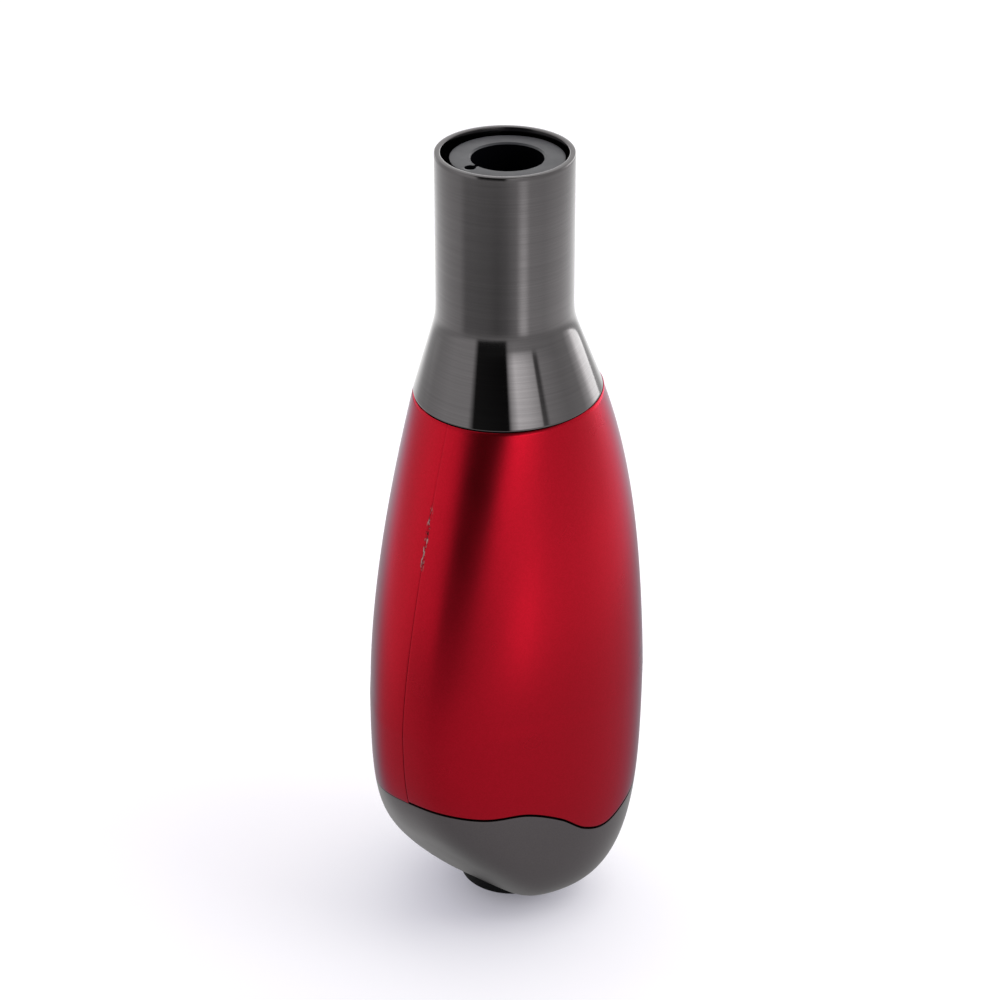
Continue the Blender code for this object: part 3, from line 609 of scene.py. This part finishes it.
def make_bush():
    """The bush with its bore and keyhole slot, which leans a little off the middle of the tube."""
    edge = 0.5 * MM
    profile = [(BUSH_RADIUS - edge, BUSH_TOP), (BUSH_RADIUS - 0.15 * edge, BUSH_TOP - 0.15 * edge),
               (BUSH_RADIUS, BUSH_TOP - edge), (BUSH_RADIUS, BUSH_LOW), (BORE_RADIUS, BUSH_LOW),
               (BORE_RADIUS, BUSH_TOP - 0.6 * edge), (BORE_RADIUS + 0.6 * edge, BUSH_TOP)]
    mesh = turned("bush", profile, BORE_Y, 144)
    bush = new_piece("fine_lever_bush", mesh, "knob", bush_plastic(),
                     ["lever_bush"])
    height, middle = 130 * MM, 115 * MM
    slit_length = RELIEF_PLACE - BORE_RADIUS + 1 * MM
    slit = cutter((0.8 * MM, slit_length, height), (0, -RELIEF_PLACE + slit_length / 2, middle),
                  SLOT_TURN)
    relief = cutter((RELIEF_RADIUS, 0, height), (0, -RELIEF_PLACE, middle), SLOT_TURN, 28)
    carve(bush, [slit, relief], 0.08 * MM)
    for vertex in bush.data.vertices:
        lean = min(1, max(0, (vertex.co.z - 120 * MM) / (20 * MM)))
        vertex.co.x += lean * BUSH_LEAN[0]
        vertex.co.y += lean * BUSH_LEAN[1]


def quarter(radius, low, rounding, steps):
    """(radius, height) points down a rounded lower corner of a turned piece."""
    return [(float(radius - rounding * (1 - math.cos(a))),
             float(low + rounding * (1 - math.sin(a)))) for a in np.linspace(0, math.pi / 2, steps)]


def make_bezel():
    """The ring that the knob stands on, with a notch on each side."""
    inner, flange_top, barrel = BUTTON_RADIUS + 0.3 * MM, CAP_BOTTOM - 0.3 * MM, 8.7 * MM
    profile = [(barrel, 12 * MM), (barrel, flange_top), (BEZEL_RADIUS, flange_top)]
    profile += quarter(BEZEL_RADIUS, 0, 0.45 * MM, 6)
    profile += [(inner + 0.2 * MM, 0), (inner, 0.2 * MM), (inner, 12 * MM)]
    mesh = turned("bezel", profile, BUTTON_Y, 144)
    bezel = new_piece("fine_button_bezel", mesh, "knob",
                      MATERIALS["black_plastic"], ["button_bezel"])
    notches = [cutter((1.6 * MM, 1.4 * MM, 2.8 * MM),
                      (side * (BEZEL_RADIUS - 0.3 * MM), BUTTON_Y - BORE_Y, -0.5 * MM), 0)
               for side in (-1, 1)]
    carve(bezel, notches)


def make_button():
    """The button: a dished face, a lip that holds it in the ring and a post for the plunger."""
    r, low, wall = BUTTON_RADIUS, 0.5 * MM, 1.1 * MM
    lip_low, lip_high = 12.3 * MM, 13.6 * MM
    inside = low + 2.4 * MM
    post_in, post_out, post_top = 3.3 * MM, 4.6 * MM, 9.5 * MM
    lip = r + 0.8 * MM
    profile = [(r - wall, lip_high), (lip, lip_high), (lip, lip_low), (r, lip_low)]
    profile += quarter(r, low, 0.6 * MM, 7)
    profile += [(float(0.86 * r * s), float(low + 0.6 * MM * (1 - s**2)))
                for s in np.linspace(1, 0, 12)]
    profile += [(0, inside), (post_in, inside), (post_in, post_top), (post_out, post_top),
                (post_out, inside), (r - wall, inside)]
    mesh = turned("button", profile, BUTTON_Y, 128)
    button = new_piece("fine_push_button", mesh, "button",
                       MATERIALS["black_plastic"], ["push_button"])
    carve(button, [])


def make_spring(name, mean_radius, wire, turns, y):
    """A compression spring, fixed at its top, drawn at the full length of its CAD part."""
    low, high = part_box(name)[0].z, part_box(name)[1].z
    turn = np.linspace(0, turns, turns * SPRING_TURN_STEPS + 1)
    angle = 2 * math.pi * turn
    end_pitch = SPRING_END_PITCH * wire
    pitch = (high - low - 2 * wire - 2 * end_pitch) / (turns - 2)
    rise = (end_pitch * np.minimum(turn, 1) + pitch * np.clip(turn - 1, 0, turns - 2)
            + end_pitch * np.clip(turn - turns + 1, 0, 1))
    out = np.stack([np.cos(angle), np.sin(angle), 0 * angle], axis=1)
    centre = mean_radius * out + np.stack([0 * rise, y + 0 * rise, low + wire + rise], axis=1)
    along = np.gradient(centre, axis=0)
    along /= np.linalg.norm(along, axis=1)[:, None]
    up = np.cross(out, along)
    section = np.linspace(0, 2 * math.pi, SPRING_WIRE_STEPS, endpoint=False)[None, :, None]
    rings = centre[:, None] + wire * (np.cos(section) * out[:, None]
                                      + np.sin(section) * up[:, None])
    ends = [np.repeat(centre[i][None, None], SPRING_WIRE_STEPS, axis=1) for i in (0, -1)]
    mesh = grid_mesh(name, np.concatenate([ends[0], rings, ends[1]]), closed=True)
    weld(mesh)
    spring = new_piece("fine_" + name, mesh, "knob", MATERIALS["spring_steel"],
                       [name])
    mesh.shade_smooth()
    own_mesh(spring)


make_shells()
make_collar()
make_cap()
make_bush()
make_bezel()
make_button()
make_spring("button_spring", 5.55 * MM, 0.5 * MM, 5, BUTTON_Y)
make_spring("rod_spring", 3.9 * MM, 0.45 * MM, 7, BORE_Y)


# ---------------------------------------------------------------- floor, light and camera
SHADE_MIDDLE = (3 * MM, 1 * MM, 0)
SHADE_REACH = 170 * MM
# A painted shadow in the floor's glow: how much of the glow is left, by distance from SHADE_MIDDLE.
FLOOR_SHADE = [(0, 0.25), (5 * MM, 0.42), (9 * MM, 0.64), (14 * MM, 0.8), (20 * MM, 0.88),
               (35 * MM, 0.87), (60 * MM, 0.87), (110 * MM, 0.94), (SHADE_REACH, 1.0)]
# The floor lies just under the foot, and the table that the knob mirrors just under the floor.
FLOOR_SIZE, FLOOR_STEPS, FLOOR_HEIGHT = 1.6, 24, -0.02 * MM
GLOW_HEIGHT = -0.6 * MM


def ramp(tree, value, stops):
    """A grey that follows value, from (place between 0 and 1, light) stops."""
    made = node(tree, "ShaderNodeValToRGB")
    elements = made.color_ramp.elements
    while len(elements) < len(stops):
        elements.new(0.5)
    for element, (place, _) in zip(elements, stops):
        element.position = place
    for element, (_, light) in zip(elements, stops):
        element.color = (light, light, light, 1)
    tree.links.new(value, made.inputs["Fac"])
    return made.outputs["Color"]


def light_ramp(tree, turn, stops):
    """Brightness of the studio by angle, from (degrees right of the camera, light) stops."""
    return ramp(tree, turn, [(degrees / 360 + 0.5, light) for degrees, light in stops])


def floor_material():
    """Pale paper with a painted glow, so that the knob's shadow stays faint, and a painted shadow
    round its foot.

    From below it is clear, so that the underside can be seen.
    """
    material, tree, shader = surface("pale_floor", (0.62, 0.61, 0.59), 0.7, 0.0,
                                     Specular_IOR_Level=0.1, Emission_Strength=1.0)
    paper = spread(tree, noise(tree, 30, 2), 0, 1)
    colour = tint(tree, paper, (0.615, 0.605, 0.585), (0.625, 0.615, 0.595))
    tree.links.new(colour, shader.inputs["Base Color"])
    apart = node(tree, "ShaderNodeVectorMath", operation="DISTANCE")
    tree.links.new(node(tree, "ShaderNodeTexCoord").outputs["Object"], apart.inputs[0])
    apart.inputs[1].default_value = SHADE_MIDDLE
    away = spread(tree, apart.outputs["Value"], 0, 1, 0, SHADE_REACH)
    # Painted shadow: the floor's glow is dimmed most round the foot and a little out to
    # SHADE_REACH.
    shade = ramp(tree, away, [(where / SHADE_REACH, light) for where, light in FLOOR_SHADE])
    glow = node(tree, "ShaderNodeMix", data_type="RGBA", blend_type="MULTIPLY")
    glow.inputs[0].default_value = 1
    glow.inputs[6].default_value = (0.43, 0.425, 0.5, 1)
    tree.links.new(shade, glow.inputs[7])
    tree.links.new(glow.outputs[2], shader.inputs["Emission Color"])
    through = node(tree, "ShaderNodeMixShader")
    tree.links.new(node(tree, "ShaderNodeNewGeometry").outputs["Backfacing"], through.inputs[0])
    tree.links.new(shader.outputs[0], through.inputs[1])
    tree.links.new(node(tree, "ShaderNodeBsdfTransparent").outputs[0], through.inputs[2])
    tree.links.new(through.outputs[0], tree.nodes["Material Output"].inputs["Surface"])
    return material


def make_floor():
    line = np.linspace(-FLOOR_SIZE, FLOOR_SIZE, FLOOR_STEPS + 1)
    x, y = np.meshgrid(line, line)
    grid = np.stack([x, y, 0 * x + FLOOR_HEIGHT], axis=2)
    mesh = grid_mesh("floor", grid, closed=False)
    floor = bpy.data.objects.new("floor", mesh)
    scene.collection.objects.link(floor)
    mesh.materials.append(floor_material())
    floor.visible_glossy = False


def direction_part(tree, vector, axis):
    """How far the looked-at direction points along an axis."""
    dot = node(tree, "ShaderNodeVectorMath", operation="DOT_PRODUCT")
    dot.inputs[1].default_value = axis
    tree.links.new(vector, dot.inputs[0])
    return dot.outputs["Value"]


# What stands round the knob: below, the pale table with a soft dark patch on the camera's side;
# above, a black screen in front and left of the camera, and a bright soft box on its right.
# The *_LIGHT lists are (degrees right of the camera, light); the other two are (distance, share).
TABLE_RADIUS = 0.52
TABLE_LIGHT = [(-180, 1.4), (-125, 1.35), (-78, 1.0), (-66, 0.52), (-30, 0.45), (-12, 0.33),
               (3, 0.44), (19, 0.85), (28, 2.2), (33, 2.2), (41, 1.15), (67, 1.05), (88, 1.3),
               (115, 1.55), (140, 1.6), (180, 1.0)]
PLAIN_TABLE_LIGHT = [(-180, 0.9), (-78, 0.82), (-60, 0.7), (-30, 0.66), (0, 0.74), (20, 0.78),
                     (60, 0.75), (90, 0.85), (180, 1.0)]
PATCH_REACH = [(0.165, 0.0), (0.222, 1.0), (0.32, 1.0), (0.4, 0.0)]
TABLE_SHADE = [(0.0, 0.35), (0.03, 0.72), (0.07, 0.82), (0.15, 0.9), (0.3, 1.0)]
LOW_LIGHT = [(-180, 0.9), (-125, 1.0), (-108, 0.9), (-80, 1.15), (-48, 1.15), (-41, 0.05),
             (0, 0.05), (5, 0.9), (14, 1.0), (26, 0.92), (40, 0.85), (75, 0.75), (100, 0.9),
             (112, 1.8), (122, 4.0), (150, 3.6), (180, 1.4)]
ROOM_LIGHT = [(-180, 1.6), (-165, 3.5), (-145, 3.5), (-125, 1.4), (-108, 1.1), (-55, 1.1),
              (-47, 0.02), (0, 0.02), (4, 1.6), (12, 3.4), (26, 2.7), (39, 1.8), (41, 0.25),
              (45, 0.25), (49, 1.1), (75, 0.85), (92, 0.8), (112, 1.6), (125, 3.0), (145, 3.8),
              (165, 3.8), (180, 1.6)]
HIGH_LIGHT = [(-180, 1.1), (-108, 0.9), (-55, 0.9), (-46, 0.05), (4, 0.05), (14, 0.5), (40, 0.5),
              (75, 0.7), (112, 1.0), (180, 1.2)]
CEILING_LIGHT = [(-180, 1.3), (-110, 1.25), (-60, 0.1), (60, 0.1), (110, 1.25), (180, 1.3)]
# Bands of the walls that fade into LOW_LIGHT and each other: (rise at start, rise at end, light).
WALL_BANDS = [(0.0, 0.06, ROOM_LIGHT), (0.18, 0.34, HIGH_LIGHT), (0.55, 0.75, CEILING_LIGHT)]


def bearing(tree, side, near):
    """From 0 to 1 round the knob, 0.5 towards the camera and more to its right."""
    angle = node(tree, "ShaderNodeMath", operation="ARCTAN2")
    tree.links.new(side, angle.inputs[0])
    tree.links.new(near, angle.inputs[1])
    return spread(tree, angle.outputs[0], 0, 1, -math.pi, math.pi)


def make_table_glow():
    """The lit table as the knob mirrors it: paler far off, dimmer close to the knob's own shade."""
    t = np.linspace(0, 2 * math.pi, 64, endpoint=False)
    rings = [np.stack([r * np.sin(t), -r * np.cos(t), 0 * t + GLOW_HEIGHT], axis=1)
             for r in (0.001, 0.05, 0.2, TABLE_RADIUS)]
    mesh = grid_mesh("table_glow", np.array(rings), closed=True)
    glow = bpy.data.objects.new("table_glow", mesh)
    scene.collection.objects.link(glow)
    material = bpy.data.materials.new("table_glow")
    material.use_nodes = True
    tree = material.node_tree
    tree.nodes.clear()
    place = node(tree, "ShaderNodeTexCoord").outputs["Object"]
    a = CAMERA_AZIMUTH
    side = direction_part(tree, place, (math.cos(a), math.sin(a), 0))
    near = direction_part(tree, place, (math.sin(a), -math.cos(a), 0))
    length = node(tree, "ShaderNodeVectorMath", operation="LENGTH")
    tree.links.new(place, length.inputs[0])
    distance = length.outputs["Value"]
    turn = bearing(tree, side, near)
    reach_share = spread(tree, distance, 0, 1, 0, TABLE_RADIUS)
    close = node(tree, "ShaderNodeMix", data_type="RGBA")
    share = ramp(tree, reach_share, [(where / TABLE_RADIUS, light) for where, light in PATCH_REACH])
    tree.links.new(share, close.inputs[0])
    tree.links.new(light_ramp(tree, turn, PLAIN_TABLE_LIGHT), close.inputs[6])
    tree.links.new(light_ramp(tree, turn, TABLE_LIGHT), close.inputs[7])
    shade = ramp(tree, reach_share, [(where / TABLE_RADIUS, light) for where, light in TABLE_SHADE])
    both = node(tree, "ShaderNodeMix", data_type="RGBA", blend_type="MULTIPLY")
    both.inputs[0].default_value = 1
    tree.links.new(close.outputs[2], both.inputs[6])
    tree.links.new(shade, both.inputs[7])
    emission = node(tree, "ShaderNodeEmission")
    tree.links.new(both.outputs[2], emission.inputs["Color"])
    output = node(tree, "ShaderNodeOutputMaterial")
    tree.links.new(emission.outputs[0], output.inputs["Surface"])
    mesh.materials.append(material)
    glow.visible_camera = False
    glow.visible_diffuse = False
    glow.visible_shadow = False
    glow.visible_transmission = False


def make_world():
    """A studio that the knob mirrors: bands of light and dark by angle and by height."""
    world = bpy.data.worlds.new("studio")
    scene.world = world
    world.use_nodes = True
    tree = world.node_tree
    background = tree.nodes["Background"]
    vector = node(tree, "ShaderNodeTexCoord").outputs["Generated"]
    a = CAMERA_AZIMUTH
    side = direction_part(tree, vector, (math.cos(a), math.sin(a), 0))
    near = direction_part(tree, vector, (math.sin(a), -math.cos(a), 0))
    rise = direction_part(tree, vector, (0, 0, 1))
    turn = bearing(tree, side, near)
    light = light_ramp(tree, turn, LOW_LIGHT)
    for low, high, ring in WALL_BANDS:
        mix = node(tree, "ShaderNodeMix", data_type="RGBA")
        tree.links.new(spread(tree, rise, 0, 1, low, high), mix.inputs[0])
        tree.links.new(light, mix.inputs[6])
        tree.links.new(light_ramp(tree, turn, ring), mix.inputs[7])
        light = mix.outputs[2]
    tree.links.new(light, background.inputs["Color"])
    background.inputs["Strength"].default_value = 1.0


def area_light(name, place, size, power):
    """A soft box that faces the middle of the knob."""
    light = bpy.data.lights.new(name, "AREA")
    light.shape = "RECTANGLE"
    light.size, light.size_y = size
    light.energy = power
    obj = bpy.data.objects.new(name, light)
    scene.collection.objects.link(obj)
    obj.location = place
    aim = Vector((0, 0, 0.07)) - Vector(place)
    obj.rotation_mode = "QUATERNION"
    obj.rotation_quaternion = aim.to_track_quat("-Z", "Y")
    obj.visible_glossy = False


def around(azimuth, elevation, distance):
    """A place round the knob; azimuth is measured from the camera's side towards the right."""
    a, e = CAMERA_AZIMUTH + math.radians(azimuth), math.radians(elevation)
    back = Vector((math.sin(a) * math.cos(e), -math.cos(a) * math.cos(e), math.sin(e)))
    return tuple(back * distance)


def make_camera():
    data = bpy.data.cameras.new("camera")
    data.lens = CAMERA_LENS
    data.sensor_width = CAMERA_SENSOR
    data.clip_start, data.clip_end = 0.01, 20
    camera = bpy.data.objects.new("camera", data)
    scene.collection.objects.link(camera)
    a, e = CAMERA_AZIMUTH, CAMERA_ELEVATION
    right = Vector((math.cos(a), math.sin(a), 0))
    back = Vector((math.sin(a) * math.cos(e), -math.cos(a) * math.cos(e), math.sin(e)))
    target = Vector((0, BORE_Y, CAMERA_TARGET_Z)) + right * CAMERA_SIDE_STEP
    camera.location = target + back * CAMERA_DISTANCE
    camera.rotation_mode = "QUATERNION"
    camera.rotation_quaternion = back.to_track_quat("Z", "Y")
    scene.camera = camera


make_floor()
make_table_glow()
make_world()
area_light("top_soft_box", (0.15, 0.15, 0.9), (0.9, 0.9), 3)
area_light("right_soft_box", around(75, 45, 0.8), (0.4, 0.5), 1.5)
make_camera()
scene.view_settings.view_transform = "Standard"
scene.view_settings.look = "None"
